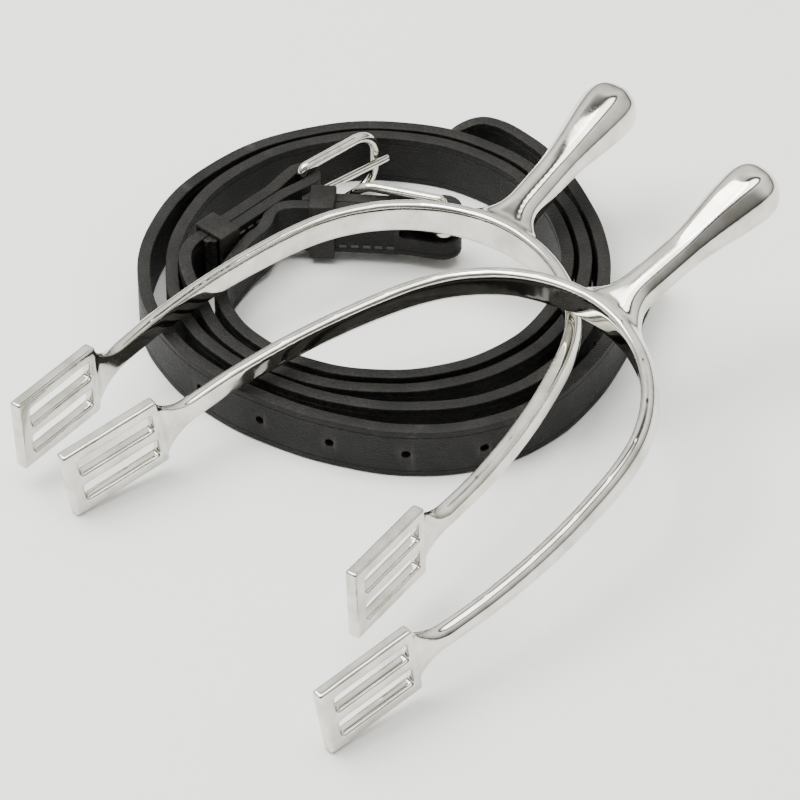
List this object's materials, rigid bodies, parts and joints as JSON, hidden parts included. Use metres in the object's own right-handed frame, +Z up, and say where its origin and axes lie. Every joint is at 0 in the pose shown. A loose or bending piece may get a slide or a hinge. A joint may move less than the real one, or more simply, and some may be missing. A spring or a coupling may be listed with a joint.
{
  "type": "pair of spurs with straps",
  "caption": "Blunt round-end riding spurs with slotted strap tabs, lying on their coiled leather straps with wire buckles.",
  "frame": {"origin": "middle of the bounding box on the surface the pair lies on", "axes": "+Z up from the surface; the camera side is -Y; the spurs' tabs point to -X and -Y, their shanks to +X and +Y"},
  "size_m": [0.1591, 0.1894, 0.0473],
  "materials": {
    "spur_steel": "mirror polished stainless steel",
    "buckle_steel": "polished",
    "strap_leather": "matte, fine grain",
    "thread": "waxed"
  },
  "bodies": {
    "outer_strap": {"strap_outer": "strap_leather", "stitching_outer": "thread", "keeper_outer": "strap_leather"},
    "outer_buckle": {"buckle_frame_outer": "buckle_steel"},
    "outer_tongue": {"buckle_tongue_outer": "buckle_steel"},
    "inner_strap": {"strap_inner": "strap_leather", "stitching_inner": "thread", "keeper_inner": "strap_leather"},
    "inner_buckle": {"buckle_frame_inner": "buckle_steel"},
    "inner_tongue": {"buckle_tongue_inner": "buckle_steel"},
    "rear_spur": {"spur_rear": "spur_steel"},
    "front_spur": {"spur_front": "spur_steel"}
  },
  "joints": [
    {"name": "outer_buckle_hinge", "type": "hinge", "parent": "outer_strap", "child": "outer_buckle", "pos_m": [-0.02143, 0.07017, 0.00865], "axis": [0, 0, -1], "range_deg": [0, 18]},
    {"name": "outer_tongue_hinge", "type": "hinge", "parent": "outer_buckle", "child": "outer_tongue", "pos_m": [-0.02143, 0.07017, 0.00865], "axis": [0, 0, -1], "range_deg": [0, 14]},
    {"name": "inner_strap_lift", "type": "slide", "parent": "outer_strap", "child": "inner_strap", "axis": [0, 0, 1], "range_m": [0, 0.05]},
    {"name": "inner_buckle_hinge", "type": "hinge", "parent": "inner_strap", "child": "inner_buckle", "pos_m": [0.00947, 0.05906, 0.00865], "axis": [0, 0, 1], "range_deg": [-20, 0]},
    {"name": "inner_tongue_hinge", "type": "hinge", "parent": "inner_buckle", "child": "inner_tongue", "pos_m": [0.00947, 0.05906, 0.00865], "axis": [0, 0, 1], "range_deg": [-18, 0]},
    {"name": "rear_spur_lift", "type": "slide", "parent": "inner_strap", "child": "rear_spur", "axis": [0, 0, 1], "range_m": [0, 0.05]},
    {"name": "front_spur_lift", "type": "slide", "parent": "rear_spur", "child": "front_spur", "axis": [0, 0, 1], "range_m": [0, 0.05]}
  ]
}
